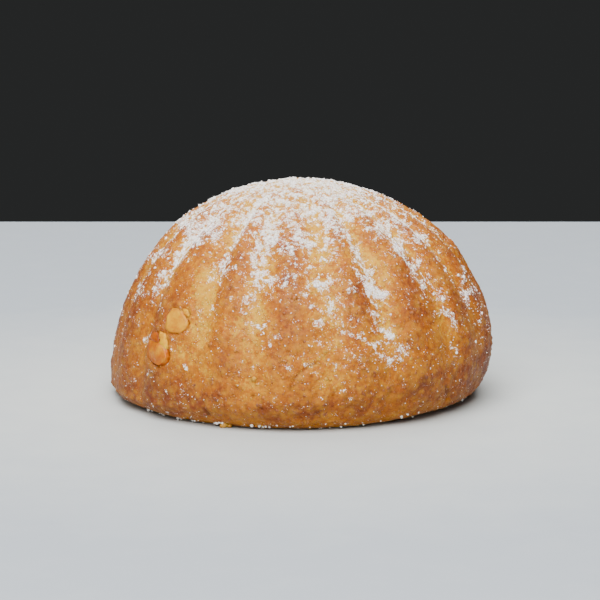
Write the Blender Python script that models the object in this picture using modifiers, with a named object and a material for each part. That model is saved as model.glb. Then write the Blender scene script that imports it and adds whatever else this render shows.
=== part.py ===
"""Almond maamoul: a moulded shortbread dome with sixteen ribs, and chopped almonds showing in its side.

The dome is a turned profile whose points are then moved: it leans a little, its ribs are pressed in by
the mould, and its foot lifts in one place. The almond pieces are fused to the dough they are baked into.
Turns are in degrees round the biscuit, from the front (-Y) to the right (+X). A share goes down the
outside: 0 is the top, 1 the widest ring and 2 the foot.
"""
import math
import random

import bmesh
import bpy
from mathutils import Matrix, Vector, noise

# Driving sizes, in metres
WIDTH = 0.0500
HEIGHT = 0.0279
WIDEST_HEIGHT = 0.0046
FOOT_WIDTH = 0.0424
LEAN = 0.0029
TOP_OFFSET = -0.0007

# How square the outline is: 2 is an ellipse
CROWN = 1.88
SHOULDER = 2.20
TUCK_UNDER = 1.80
TUCK_IN = 1.42

# Ribs: the groove on the left of each rib and its crest, in degrees, and the groove's depth
SEEN_RIBS = (
    (-80, -69, 0.0011),
    (-57, -48, 0.0015),
    (-31, -24, 0.0014),
    (-14, -4, 0.0010),
    (10, 18, 0.0009),
    (27, 38, 0.0015),
    (50, 57, 0.0013),
    (66, 75, 0.0011),
    (84, 94, 0.0008),
)
BACK_RIBS = 7
LAST_GROOVE = 107
GROOVE_DEPTH = 0.0012
DEPTH_SPREAD = 0.0002
RIB_STARTS = (0.08, 0.38)
RIB_ENDS = (0.62, 1.20)
RIB_LEFT_AT_FOOT = 0.28

# Slow unevenness of the dough, and the foot that lifts off what it stands on
LUMP_SIZE = 0.0095
LUMP_HEIGHT = 0.00022
LIFT = 0.0006
LIFT_TURN = 56
LIFT_REACH = 60
FLAT_BASE_WIDTH = 0.0390

# Fineness of the faceted solid
STEPS = 144
RINGS_ABOVE = 19
RINGS_BELOW = 6

# Almond pieces: turn, share down the side, width, length, thickness, roll in degrees, how far proud
ALMONDS = (
    (-41, 0.730, 0.0044, 0.0042, 0.0018, 12, 0.00045),
    (-45, 0.798, 0.0016, 0.0032, 0.0014, -28, 0.00045),
    (-49, 0.796, 0.0026, 0.0018, 0.0016, 8, 0.00055),
    (-46.5, 0.843, 0.0046, 0.0034, 0.0026, 16, 0.00085),
    (72, 0.66, 0.0030, 0.0021, 0.0016, 35, 0.00040),
    (104, 0.86, 0.0024, 0.0034, 0.0018, -20, 0.00055),
    (141, 0.58, 0.0031, 0.0025, 0.0015, 50, 0.00040),
    (163, 0.88, 0.0036, 0.0026, 0.0020, 10, 0.00060),
    (202, 0.72, 0.0028, 0.0037, 0.0016, -35, 0.00045),
    (236, 0.90, 0.0031, 0.0023, 0.0018, 20, 0.00055),
    (262, 0.63, 0.0024, 0.0030, 0.0014, -10, 0.00040),
)
ALMOND_UNEVENNESS = 0.10

SEED = 7
DOUGH_COLOUR = (0.50, 0.23, 0.075, 1.0)


def smooth_step(low, high, value):
    """Eases from 0 at low to 1 at high."""
    t = min(max((value - low) / (high - low), 0.0), 1.0)
    return t * t * (3 - 2 * t)


def rib_table():
    """Every rib as (groove turn, crest turn, groove depth), once round the biscuit."""
    draw = random.Random(SEED)
    ribs = list(SEEN_RIBS)
    pitch = (SEEN_RIBS[0][0] + 360 - LAST_GROOVE) / BACK_RIBS
    for number in range(BACK_RIBS):
        groove = LAST_GROOVE + number * pitch
        crest = groove + pitch * draw.uniform(0.36, 0.60)
        ribs.append((groove, crest, GROOVE_DEPTH + draw.uniform(-DEPTH_SPREAD, DEPTH_SPREAD)))
    return ribs


RIBS = rib_table()


def groove_depth(turn):
    """How far the dough is pressed in at a turn: nothing on a crest, all of a groove's depth in it."""
    first = RIBS[0][0]
    turn = (turn - first) % 360 + first
    for number, (groove, crest, depth) in enumerate(RIBS):
        last = number + 1 == len(RIBS)
        next_groove = first + 360 if last else RIBS[number + 1][0]
        if turn > next_groove:
            continue
        if turn <= crest:
            return depth * (1 - math.sin((turn - groove) / (crest - groove) * math.pi / 2))
        next_depth = RIBS[0][2] if last else RIBS[number + 1][2]
        return next_depth * (1 - math.sin((next_groove - turn) / (next_groove - crest) * math.pi / 2))
    return 0.0


def profile_at(share):
    """Radius and height of the plain turned dome."""
    if share <= 1:
        angle = share * math.pi / 2
        rise = math.cos(angle) ** (2 / CROWN)
        return WIDTH / 2 * math.sin(angle) ** (2 / SHOULDER), WIDEST_HEIGHT + (HEIGHT - WIDEST_HEIGHT) * rise
    angle = (share - 1) * math.pi / 2
    tuck = math.cos(angle) ** (2 / TUCK_IN)
    radius = FOOT_WIDTH / 2 + (WIDTH - FOOT_WIDTH) / 2 * tuck
    return radius, WIDEST_HEIGHT * (1 - math.sin(angle) ** (2 / TUCK_UNDER))


def share_at(height):
    """The share at which the plain dome has this height."""
    if height >= WIDEST_HEIGHT:
        rise = min((height - WIDEST_HEIGHT) / (HEIGHT - WIDEST_HEIGHT), 1.0)
        return math.acos(rise ** (CROWN / 2)) * 2 / math.pi
    drop = min(1 - height / WIDEST_HEIGHT, 1.0)
    return 1 + math.asin(drop ** (TUCK_UNDER / 2)) * 2 / math.pi


def outward(point):
    """The way that the plain dome's outside faces, near enough, at a point on it."""
    above = max(point.z - WIDEST_HEIGHT, 0) / (HEIGHT - WIDEST_HEIGHT) ** 2
    across = (2 / WIDTH) ** 2
    return Vector((point.x * across, point.y * across, above)).normalized()


def shaped(point):
    """Moves a point of the plain turned dome to where the baked dough has it."""
    turn = math.degrees(math.atan2(point.x, -point.y))
    share = share_at(point.z)
    ribs = smooth_step(*RIB_STARTS, share) * (1 - (1 - RIB_LEFT_AT_FOOT) * smooth_step(*RIB_ENDS, share))
    lump = noise.noise(point / LUMP_SIZE) * LUMP_HEIGHT
    foot = smooth_step(2.0, 1.3, share)
    moved = point + outward(point) * (lump - groove_depth(turn) * ribs) * foot
    side = math.sin(math.radians(turn))
    if share <= 1:
        rise = (point.z - WIDEST_HEIGHT) / (HEIGHT - WIDEST_HEIGHT)
        moved.z += LEAN * side * (1 - rise)
        moved.x += TOP_OFFSET * rise
    else:
        moved.z += LEAN * side * point.z / WIDEST_HEIGHT
    away = abs((turn - LIFT_TURN + 180) % 360 - 180)
    moved.z += LIFT * smooth_step(LIFT_REACH, 0, away) * smooth_step(1.4, 2.0, share)
    return moved


def surface_point(turn, share):
    """The baked dough's surface at a turn and a share."""
    radius, height = profile_at(share)
    angle = math.radians(turn)
    return shaped(Vector((radius * math.sin(angle), -radius * math.cos(angle), height)))


def make_dough(collection):
    """The ribbed dome: the profile turned with a Screw, then its points moved."""
    above = [profile_at(ring / RINGS_ABOVE) for ring in range(RINGS_ABOVE + 1)]
    below = [profile_at(1 + ring / RINGS_BELOW) for ring in range(1, RINGS_BELOW + 1)]
    base = [(FLAT_BASE_WIDTH / 2, 0.0), (0.0, 0.0)]
    outline = above + below + base
    mesh = bpy.data.meshes.new("profile")
    points = [(radius, 0, height) for radius, height in outline]
    mesh.from_pydata(points, [(i, i + 1) for i in range(len(points) - 1)], [])
    profile = bpy.data.objects.new("profile", mesh)
    collection.objects.link(profile)
    screw = profile.modifiers.new("turn", "SCREW")
    screw.axis = "Z"
    screw.angle = math.tau
    screw.steps = STEPS
    screw.render_steps = STEPS
    screw.use_merge_vertices = True
    screw.merge_threshold = 0.00001
    screw.use_normal_calculate = False
    turned = applied_mesh(profile, "maamoul")
    bpy.data.objects.remove(profile)
    flat = FLAT_BASE_WIDTH / 2 + 0.0001
    for vertex in turned.vertices:
        on_base = vertex.co.z < 1e-6 and vertex.co.xy.length < flat
        if not on_base:
            vertex.co = shaped(vertex.co.copy())
    dough = bpy.data.objects.new("maamoul", turned)
    collection.objects.link(dough)
    return dough


def applied_mesh(thing, name):
    """The mesh of an object with its modifiers applied."""
    graph = bpy.context.evaluated_depsgraph_get()
    mesh = bpy.data.meshes.new_from_object(thing.evaluated_get(graph))
    mesh.name = name
    return mesh


def make_almond(collection, number, values, draw):
    """One chopped piece, as an uneven flattened lump that sits in the dough's surface."""
    turn, share, width, length, thickness, roll, proud = values
    middle = surface_point(turn, share)
    across = (surface_point(turn + 3, share) - surface_point(turn - 3, share)).normalized()
    down = (surface_point(turn, share + 0.03) - surface_point(turn, share - 0.03)).normalized()
    out = across.cross(-down).normalized()
    if out.dot(outward(middle)) < 0:
        out = -out
    upward = out.cross(across).normalized()
    frame = Matrix((across, upward, out)).transposed().to_4x4()
    frame.translation = middle + out * (proud - thickness / 2)
    lump = bmesh.new()
    bmesh.ops.create_icosphere(lump, subdivisions=2, radius=0.5)
    for vertex in lump.verts:
        vertex.co *= 1 + draw.uniform(-ALMOND_UNEVENNESS, ALMOND_UNEVENNESS)
    bmesh.ops.scale(lump, vec=(width, length, thickness), verts=lump.verts)
    bmesh.ops.rotate(lump, matrix=Matrix.Rotation(math.radians(roll), 3, "Z"), verts=lump.verts)
    bmesh.ops.transform(lump, matrix=frame, verts=lump.verts)
    mesh = bpy.data.meshes.new(f"almond_{number}")
    lump.to_mesh(mesh)
    lump.free()
    almond = bpy.data.objects.new(f"almond_{number}", mesh)
    collection.objects.link(almond)


def fuse(dough, pieces):
    """Joins the pieces of a collection to the dough and removes them."""
    union = dough.modifiers.new("fuse", "BOOLEAN")
    union.operation = "UNION"
    union.operand_type = "COLLECTION"
    union.collection = pieces
    union.solver = "EXACT"
    whole = applied_mesh(dough, "maamoul")
    dough.modifiers.remove(union)
    dough.data = whole
    for piece in list(pieces.objects):
        bpy.data.objects.remove(piece)
    bpy.data.collections.remove(pieces)


def stand_at_origin(thing):
    """Puts the origin at the middle of the box round the biscuit, at its base."""
    xs = [vertex.co.x for vertex in thing.data.vertices]
    ys = [vertex.co.y for vertex in thing.data.vertices]
    middle = Vector(((min(xs) + max(xs)) / 2, (min(ys) + max(ys)) / 2, 0))
    thing.data.transform(Matrix.Translation(-middle))


def baked_dough_material():
    """Shortbread dough, baked golden brown."""
    material = bpy.data.materials.new("baked shortbread dough")
    material.use_nodes = True
    shader = material.node_tree.nodes["Principled BSDF"]
    shader.inputs["Base Color"].default_value = DOUGH_COLOUR
    shader.inputs["Roughness"].default_value = 0.65
    shader.inputs["Metallic"].default_value = 0.0
    return material


def main():
    """Builds the biscuit in an empty scene."""
    for thing in list(bpy.data.objects):
        bpy.data.objects.remove(thing)
    biscuit = bpy.data.collections.new("almond_maamoul")
    almonds = bpy.data.collections.new("almond_pieces")
    bpy.context.scene.collection.children.link(biscuit)
    bpy.context.scene.collection.children.link(almonds)
    dough = make_dough(biscuit)
    draw = random.Random(SEED)
    for number, values in enumerate(ALMONDS):
        make_almond(almonds, number, values, draw)
    fuse(dough, almonds)
    stand_at_origin(dough)
    dough.data.materials.clear()
    dough.data.materials.append(baked_dough_material())
    dough.data.shade_smooth()


main()
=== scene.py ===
"""Almond maamoul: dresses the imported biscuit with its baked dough, almond pieces, icing sugar and crumbs.

Turns are in degrees round the biscuit, from the front (-Y) to the right (+X). A share goes down the
outside: 0 is the top, 1 the widest ring and 2 the foot.
"""
import math
import random

import bmesh
import bpy
import numpy as np
from bpy.props import FloatProperty, FloatVectorProperty, IntProperty, PointerProperty
from mathutils import Matrix, Vector, kdtree, noise


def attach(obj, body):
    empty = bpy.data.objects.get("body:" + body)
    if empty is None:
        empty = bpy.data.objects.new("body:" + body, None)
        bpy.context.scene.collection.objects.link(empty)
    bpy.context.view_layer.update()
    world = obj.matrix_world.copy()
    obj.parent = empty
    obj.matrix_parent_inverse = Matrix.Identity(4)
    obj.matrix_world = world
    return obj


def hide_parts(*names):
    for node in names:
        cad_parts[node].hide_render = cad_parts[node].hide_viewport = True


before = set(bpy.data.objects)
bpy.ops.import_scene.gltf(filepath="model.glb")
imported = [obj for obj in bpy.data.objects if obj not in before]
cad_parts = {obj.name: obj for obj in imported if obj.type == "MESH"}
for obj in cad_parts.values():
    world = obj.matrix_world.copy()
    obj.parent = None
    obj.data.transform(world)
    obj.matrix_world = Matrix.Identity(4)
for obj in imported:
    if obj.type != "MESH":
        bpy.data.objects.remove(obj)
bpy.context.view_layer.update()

bl_info = {
    "name": "Almond maamoul",
    "version": (1, 0, 0),
    "blender": (4, 5, 0),
    "location": "3D View > Sidebar > Maamoul",
    "description": "Makes an almond maamoul dusted with icing sugar around its packed solid",
    "category": "Add Mesh",
}

MM = 0.001
NODE = "maamoul"
SEED = 11

# The dome, with the same driving sizes as its solid
WIDTH = 0.0500
HEIGHT = 0.0279
WIDEST_HEIGHT = 0.0046
FOOT_WIDTH = 0.0424
LEAN = 0.0029
TOP_OFFSET = -0.0007
CROWN = 1.88
SHOULDER = 2.20
TUCK_UNDER = 1.80
TUCK_IN = 1.75

# Ribs: the groove on the left of each rib and its crest, in degrees, and the groove's depth
SEEN_RIBS = (
    (-80, -69, 0.0011),
    (-57, -48, 0.0015),
    (-31, -24, 0.0014),
    (-14, -4, 0.0010),
    (10, 18, 0.0009),
    (27, 38, 0.0015),
    (50, 57, 0.0013),
    (66, 75, 0.0011),
    (84, 94, 0.0008),
)
BACK_RIBS = 7
LAST_GROOVE = 107
GROOVE_DEPTH = 0.0012
DEPTH_SPREAD = 0.0002
RIB_SEED = 7
RIB_STARTS = (0.08, 0.38)
RIB_ENDS = (0.62, 1.20)
RIB_LEFT_AT_FOOT = 0.28
GROOVE_ROUNDING = 0.24

# Degrees by which the steps round the dough crowd towards the front, where the eye is closest
FRONT_CROWDING = 16

# Slow unevenness of the dough, and the foot that lifts off what it stands on
LUMP_SIZE = 0.0095
LUMP_HEIGHT = 0.00022
LIFT = 0.0006
LIFT_TURN = 56
LIFT_REACH = 60

# Outlines of chopped almond in millimetres, across and up the side of the biscuit
CHOPPED = {
    "round": (
        (1.93, -0.41), (1.40, 0.54), (0.75, 1.20), (-0.09, 1.62), (-1.25, 1.62), (-1.84, 0.14),
        (-1.32, -1.49), (0.09, -1.69), (1.32, -1.35),
    ),
    "splinter": ((0.60, -0.47), (0.53, 0.10), (0.0, 0.47), (-0.70, 0.54), (-0.53, 0.13), (0.0, -0.27)),
    "sliver": (
        (0.84, -0.54), (0.37, 0.20), (-0.37, 0.95), (-0.93, 1.08), (-0.56, 0.0), (0.19, -1.08), (0.65, -1.35),
    ),
    "lump": (
        (1.12, -0.54), (0.92, 0.27), (0.31, 0.74), (-0.71, 0.68), (-1.22, 0.14), (-0.71, -0.41), (0.31, -0.74),
    ),
    "wedge": (
        (2.00, -0.41), (1.54, 0.54), (0.58, 1.28), (-0.58, 1.49), (-2.00, 1.35), (-2.00, 0.27),
        (-1.54, -0.68), (-0.38, -1.35), (0.77, -1.49), (1.73, -1.08),
    ),
}

# Almond pieces: outline, its scale, turn, share, thickness, roll in degrees, how far proud, how toasted
ALMONDS = (
    ("round", 0.95, -42.2, 0.722, 0.0012, 0, 0.00018, 0.15),
    ("splinter", 0.90, -39.4, 0.692, 0.0006, 0, 0.00010, 0.20),
    ("sliver", 1.0, -45.4, 0.790, 0.0009, 0, 0.00030, 0.08),
    ("lump", 1.0, -49.4, 0.788, 0.0012, 0, 0.00038, 0.70),
    ("wedge", 1.0, -47, 0.833, 0.0018, 0, 0.00055, 0.42),
    ("sliver", 1.20, 104, 0.86, 0.0016, -20, 0.00040, 0.60),
    ("round", 0.72, 141, 0.58, 0.0013, 50, 0.00022, 0.20),
    ("wedge", 0.80, 163, 0.88, 0.0018, 10, 0.00045, 0.62),
    ("round", 0.80, 202, 0.72, 0.0014, -35, 0.00025, 0.20),
    ("wedge", 0.68, 236, 0.90, 0.0016, 20, 0.00040, 0.55),
    ("lump", 1.05, 262, 0.63, 0.0012, -80, 0.00025, 0.35),
)

# Places where the dough rises over something: turn, share, half width and height
RISES = ((72, 0.66, 0.0012, 0.00018), (90, 0.58, 0.0013, 0.00032), (37, 0.57, 0.0010, 0.00025))

# The photograph's frame and the camera that matches it
PICTURE = 600
PIXELS_PER_METRE = 7640
CAMERA_RISE = 10
CAMERA_DISTANCE = 0.320
CAMERA_AIM = (-0.00018, 0.0, 0.01234)
SENSOR = 0.036

# How thickly icing sugar lies at each share of the way down: 0.5 covers half of the surface
SUGAR_ON_TOP = (
    (0.0, 0.90), (0.10, 0.82), (0.20, 0.62), (0.30, 0.42), (0.40, 0.23), (0.50, 0.10), (0.70, 0.00),
    (1.0, -0.06), (1.6, -0.30),
)
SUGAR_PATCH_WEIGHT = 0.85

# Past this much cover, only a share of what is added still counts
THICK_COVER = 0.56
THICK_GAIN = 0.35

# Streaks of sugar along the grooves: turn, the share where they end, weight and half width in degrees
SUGAR_STREAKS = (
    (-78, 0.62, 0.30, 3.0), (-57.5, 0.68, 0.44, 3.2), (-30, 0.60, 0.32, 2.6), (-13.5, 0.58, 0.18, 3.4),
    (24.5, 0.64, 0.32, 2.4), (45, 0.76, 0.38, 2.8), (63, 0.76, 0.38, 2.8), (81, 0.70, 0.30, 3.0),
)

# Sugar that shows in the picture: across, down, half width, half height in its pixels, and weight
SUGAR_PATCHES = (
    (212, 220, 8, 6, 0.9), (200, 232, 8, 6, 0.9), (189, 240, 6, 7, 0.8), (180, 255, 5, 7, 0.8),
    (162, 276, 5, 7, 0.8), (156, 290, 4, 6, 0.6), (153, 258, 4, 4, 0.7), (166, 253, 5, 3, 0.6),
    (183, 222, 9, 6, 0.6), (244, 220, 10, 5, 0.6), (257, 214, 8, 4, 0.6), (270, 223, 7, 6, 0.6),
    (292, 219, 7, 5, 0.6), (310, 212, 8, 4, 0.6), (324, 215, 9, 5, 0.6), (345, 217, 9, 5, 0.7),
    (300, 230, 5, 5, 0.6), (298, 243, 5, 6, 0.65), (312, 244, 4, 3, 0.5), (266, 236, 9, 6, 0.8),
    (263, 248, 10, 8, 0.7), (217, 238, 6, 5, 0.5), (200, 242, 4, 4, 0.4), (326, 237, 7, 7, 0.5),
    (338, 232, 6, 5, 0.5), (370, 229, 5, 3, 0.5), (334, 254, 5, 5, 0.35), (286, 250, 6, 5, 0.5),
    (386, 226, 7, 6, 0.7), (400, 223, 7, 5, 0.6), (398, 243, 6, 6, 0.6), (417, 237, 7, 6, 0.5),
    (222, 267, 6, 5, 0.95), (212, 281, 5, 8, 0.4), (212, 308, 4, 5, 0.5), (256, 268, 7, 10, 0.7),
    (259, 280, 7, 6, 0.85), (272, 280, 7, 5, 0.6), (286, 286, 6, 3, 0.8), (251, 297, 7, 4, 0.8),
    (256, 307, 4, 4, 0.65), (269, 346, 3, 4, 0.6), (303, 294, 5, 2.5, 0.85), (304, 302, 5, 4, 0.6),
    (311, 307, 3, 3, 0.85), (300, 274, 5, 5, 0.4), (325, 286, 8, 5, 0.62), (314, 284, 4, 4, 0.55),
    (333, 279, 7, 4, 0.45), (337, 303, 10, 7, 0.35), (325, 310, 9, 8, 0.36), (316, 322, 6, 3, 0.6),
    (330, 322, 8, 6, 0.32), (341, 320, 6, 4, 0.32), (350, 332, 6, 4, 0.5), (321, 343, 4, 3, 0.5),
    (350, 290, 5, 5, 0.3), (358, 262, 5, 9, 0.5), (366, 276, 5, 6, 0.9), (373, 287, 6, 6, 1.9),
    (382, 295, 7, 4, 1.5), (378, 303, 6, 4, 0.5), (376, 316, 8, 9, 0.45), (381, 329, 5, 3, 0.9),
    (388, 335, 5, 4, 0.85), (376, 347, 6, 5, 0.6), (381, 356, 6, 4, 0.5), (393, 360, 8, 4, 0.5),
    (403, 350, 8, 5, 0.55), (386, 366, 12, 5, 0.3), (365, 360, 12, 10, 0.25), (416, 260, 6, 8, 0.7),
    (426, 279, 5, 6, 0.7), (436, 290, 5, 6, 0.85), (445, 300, 4, 6, 0.65), (443, 313, 6, 4, 0.85),
    (453, 318, 4, 8, 0.6), (456, 364, 4, 5, 0.6), (453, 348, 4, 5, 0.35), (462, 280, 4, 10, 0.6),
    (466, 298, 4, 8, 0.65), (474, 292, 4, 6, 0.5), (478, 318, 4, 10, 0.5), (140, 292, 5, 18, 0.4),
    (472, 356, 3, 4, 0.4), (236, 317, 4, 3, 0.4), (247, 322, 5, 3, 0.35), (257, 327, 5, 3, 0.4),
    (186, 368, 3, 3, 0.9), (204, 353, 3, 2, 0.4), (146, 340, 4, 3, 0.5), (394, 253, 3, 6, 0.4),
    (296, 248, 22, 16, 0.22), (316, 272, 24, 16, 0.18), (334, 306, 18, 18, 0.12), (372, 318, 12, 18, 0.16),
    (392, 346, 14, 14, 0.32), (242, 302, 10, 8, 0.30), (268, 292, 10, 8, 0.26), (228, 262, 8, 10, 0.16),
    (340, 340, 22, 18, 0.20), (264, 330, 16, 14, 0.20), (328, 366, 26, 12, 0.18),
)

# Where the crust is browner or, with a weight below 0, paler than its rib: as for the sugar. Partly real
# browning and partly painted shade, as on the low left of the front
BAKE_AND_SHADE_PATCH_WEIGHT = 0.65
BAKE_AND_SHADE_PATCHES = (
    (226, 274, 7, 14, 0.40), (236, 256, 9, 7, 0.30), (288, 262, 12, 12, 0.25), (286, 281, 4, 3, 0.6),
    (285, 315, 14, 16, -0.05), (292, 340, 14, 14, 0.10), (303, 291, 4, 2, 0.35), (354, 292, 9, 13, 0.40),
    (359, 285, 4, 9, 0.45), (365, 300, 3, 11, 0.45), (352, 318, 8, 12, 0.10), (414, 300, 10, 26, 0.25),
    (405, 263, 6, 6, 0.40), (424, 330, 12, 14, 0.14), (450, 282, 8, 12, 0.06), (445, 262, 9, 10, 0.05),
    (460, 318, 5, 14, 0.20), (228, 374, 8, 9, 0.35), (186, 376, 10, 7, 0.25), (196, 405, 20, 8, 0.22),
    (157, 312, 6, 16, 0.35), (196, 232, 7, 7, 0.35), (146, 380, 8, 14, 0.15), (426, 380, 5, 4, 0.75),
    (413, 384, 6, 4, 0.35), (447, 392, 2, 4, 0.80), (340, 402, 20, 6, 0.15), (465, 372, 14, 18, 0.20),
    (180, 396, 28, 16, 0.66), (150, 384, 14, 14, 0.44), (206, 412, 3, 3, 0.75), (260, 412, 8, 5, 0.30),
    (318, 412, 6, 4, 0.35), (370, 232, 5, 8, 0.35),
    (205, 288, 10, 22, -0.38), (234, 322, 18, 12, -0.45), (185, 262, 9, 16, -0.20), (214, 335, 10, 10, -0.15),
    (340, 262, 8, 12, -0.40), (385, 272, 9, 18, -0.25), (322, 258, 8, 14, -0.25), (328, 312, 14, 12, -0.20),
    (270, 262, 8, 8, -0.15), (246, 390, 18, 10, -0.15), (176, 345, 8, 12, -0.20), (372, 262, 10, 14, -0.20),
    (452, 340, 8, 14, -0.10), (384, 318, 8, 12, -0.15), (330, 380, 24, 10, -0.08), (150, 370, 8, 10, -0.10),
)

# Cracks in the crust: their width and depth, and the places that they run through in the picture; painted shade
# darkens them and the holes
CRACKS = (
    (0.00016, 0.00026, ((318, 362), (309, 367), (300, 372), (295, 378), (291, 385), (290, 391))),
    (0.00016, 0.00028, ((446, 386), (447, 392), (448, 398))),
    (0.00014, 0.00024, ((204, 408), (207, 412), (209, 416))),
    (0.00014, 0.00020, ((407, 262), (404, 257), (399, 254), (394, 258))),
)
HOLES = (
    (203, 325, 0.00016), (200, 354, 0.00018), (218, 396, 0.00018), (289, 352, 0.00018), (244, 262, 0.00018),
    (236, 318, 0.00026), (262, 409, 0.00024), (253, 396, 0.00022), (237, 388, 0.00022), (410, 262, 0.00035),
    (402, 346, 0.00020), (398, 301, 0.00016), (311, 376, 0.00020), (319, 413, 0.00026), (300, 416, 0.00020),
)

# How many small things there are, and how many places are tried for the scattered ones
PITS = 300
NUBS = 4200
CRYSTALS = 800
POWDER_TRIES = 420000
MEAL_TRIES = 30000
MOST_FINE_GRAINS = 24500
MOST_COARSE_GRAINS = 9800
TOP_COVER_HEIGHT = 0.0240

# Crumbs and lumps of sugar at the foot that show in the picture: turn, share and width
FOOT_CRUMBS = ((-24.8, 1.70, 0.00090), (-23.2, 1.74, 0.00065), (-26.0, 1.78, 0.00050), (-14.0, 1.66, 0.00040))
FOOT_SUGAR = (
    (-26.8, 1.62, 0.00055), (-25.7, 1.58, 0.00045), (-27.8, 1.66, 0.00040), (-24.9, 1.60, 0.00035),
    (-15.5, 1.66, 0.00045), (-13.0, 1.66, 0.00035), (-11.2, 1.68, 0.00030), (13.5, 1.66, 0.00030),
    (32.5, 1.66, 0.00035), (-58.7, 1.68, 0.00050), (-57.5, 1.64, 0.00035), (-49.6, 1.70, 0.00045),
    (-42.6, 1.70, 0.00055), (-41.5, 1.72, 0.00035), (-35.5, 1.68, 0.00035), (-3.5, 1.68, 0.00030),
)
MORE_CRUMBS = 70
MORE_FOOT_SUGAR = 110


def linear(code):
    """A colour given as an sRGB hex value, as Blender's linear numbers."""
    parts = [int(code[place:place + 2], 16) / 255 for place in (1, 3, 5)]
    return tuple(c / 12.92 if c <= 0.04045 else ((c + 0.055) / 1.055) ** 2.4 for c in parts) + (1.0,)


def tint(name, description, code):
    """A colour that a user can change."""
    return FloatVectorProperty(
        name=name, description=description, subtype="COLOR", size=4, min=0, max=1, default=linear(code)
    )


def length(name, description, value):
    """A size that a user can change, in metres."""
    return FloatProperty(name=name, description=description, default=value, min=0, unit="LENGTH", precision=5)


class MaamoulSizes(bpy.types.PropertyGroup):
    """How finely the biscuit is made and how large its small things are."""

    steps: IntProperty(name="Steps", description="Faces round the dough", default=512, min=64)
    rings: IntProperty(name="Rings", description="Rings of faces down the dough's side", default=178, min=24)
    base_rings: IntProperty(name="Base rings", description="Rings of faces across the base", default=10, min=2)
    grain: length("Grain", "Size of the crust's coarse grain", 0.0012)
    grain_height: length("Grain height", "How far the coarse grain stands out", 0.00009)
    fine_grain: length("Fine grain", "Size of the crust's fine grain", 0.0006)
    fine_height: length("Fine height", "How far the fine grain stands out", 0.00004)
    powder: length("Powder", "Width of a grain of icing sugar", 0.00015)
    clump: length("Clump", "Width of a clump of icing sugar", 0.00026)
    crystal: length("Crystal", "Width of a sugar crystal", 0.00045)
    flour_grain: length("Flour grain", "Width of a coarse grain in the crust", 0.00028)
    crumb: length("Crumb", "Width of a crumb", 0.0006)


class MaamoulColours(bpy.types.PropertyGroup):
    """Colours of the biscuit and of what it is shown on."""

    pale: tint("Pale dough", "Dough in the grooves, hardly browned", "#c8952a")
    golden: tint("Golden dough", "Dough between groove and crest", "#ab6411")
    brown: tint("Brown crust", "Crust on the crests of the ribs", "#8e4c1c")
    dark: tint("Dark crust", "The most baked crust", "#6e361e")
    # Painted shade: the colour laid deep in cracks, pits and holes and round the almond pieces
    crack_shade: tint("Crack", "Deep in cracks and holes", "#6a2a08")
    sugar: tint("Icing sugar", "Powdered sugar", "#fffcf8")
    almond_pale: tint("Pale almond", "Blanched almond, hardly toasted", "#d0991c")
    almond_toasted: tint("Toasted almond", "Almond that has browned in the oven", "#ab5604")
    almond_dark: tint("Dark almond", "The most toasted edges of the almond", "#763208")
    floor: tint("Paper", "The pale surface underneath", "#bcc1c0")
    # Painted shade: the paper's colour further from the biscuit, darker than near it
    floor_far_shade: tint("Far paper", "The same surface further from the biscuit", "#a2aab2")
    backdrop: tint("Backdrop", "What is behind", "#2b2c2c")


def smooth_step(low, high, value):
    """Eases from 0 at low to 1 at high, for one number or an array."""
    t = np.clip((value - low) / (high - low), 0.0, 1.0)
    return t * t * (3 - 2 * t)


def rib_table():
    """Every rib as (groove turn, crest turn, groove depth), once round the biscuit."""
    draw = random.Random(RIB_SEED)
    ribs = list(SEEN_RIBS)
    pitch = (SEEN_RIBS[0][0] + 360 - LAST_GROOVE) / BACK_RIBS
    for number in range(BACK_RIBS):
        groove = LAST_GROOVE + number * pitch
        crest = groove + pitch * draw.uniform(0.36, 0.60)
        ribs.append((groove, crest, GROOVE_DEPTH + draw.uniform(-DEPTH_SPREAD, DEPTH_SPREAD)))
    return ribs


RIBS = rib_table()


def rib_place(turn):
    """For an array of turns: how far from groove (0) to crest (1) each is, and the groove's depth."""
    first = RIBS[0][0]
    turn = (turn - first) % 360 + first
    climb = np.zeros_like(turn)
    depth = np.zeros_like(turn)
    for number, (groove, crest, groove_depth) in enumerate(RIBS):
        wrapped = number + 1 == len(RIBS)
        next_groove = first + 360 if wrapped else RIBS[number + 1][0]
        next_depth = RIBS[0][2] if wrapped else RIBS[number + 1][2]
        rising = (turn >= groove) & (turn <= crest)
        falling = (turn > crest) & (turn <= next_groove)
        climb = np.where(rising, (turn - groove) / (crest - groove), climb)
        climb = np.where(falling, (next_groove - turn) / (next_groove - crest), climb)
        depth = np.where(rising, groove_depth, depth)
        depth = np.where(falling, next_depth, depth)
    return climb, depth


def profile_at(share):
    """Radius and height of the plain turned dome, for an array of shares."""
    upper = np.clip(share, 0, 1) * math.pi / 2
    lower = np.clip(share - 1, 0, 1) * math.pi / 2
    rise = np.maximum(np.cos(upper), 0) ** (2 / CROWN)
    tuck = np.maximum(np.cos(lower), 0) ** (2 / TUCK_IN)
    above = WIDTH / 2 * np.sin(upper) ** (2 / SHOULDER)
    below = (FOOT_WIDTH + (WIDTH - FOOT_WIDTH) * tuck) / 2
    radius = np.where(share <= 1, above, below)
    high = WIDEST_HEIGHT + (HEIGHT - WIDEST_HEIGHT) * rise
    low = WIDEST_HEIGHT * (1 - np.sin(lower) ** (2 / TUCK_UNDER))
    return radius, np.where(share <= 1, high, low)


def outward(points):
    """The way that the plain dome's outside faces, near enough, at points on it."""
    above = np.maximum(points[:, 2] - WIDEST_HEIGHT, 0) / (HEIGHT - WIDEST_HEIGHT) ** 2
    across = (2 / WIDTH) ** 2
    facing = np.column_stack((points[:, 0] * across, points[:, 1] * across, above))
    return facing / np.linalg.norm(facing, axis=1)[:, None]


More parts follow.
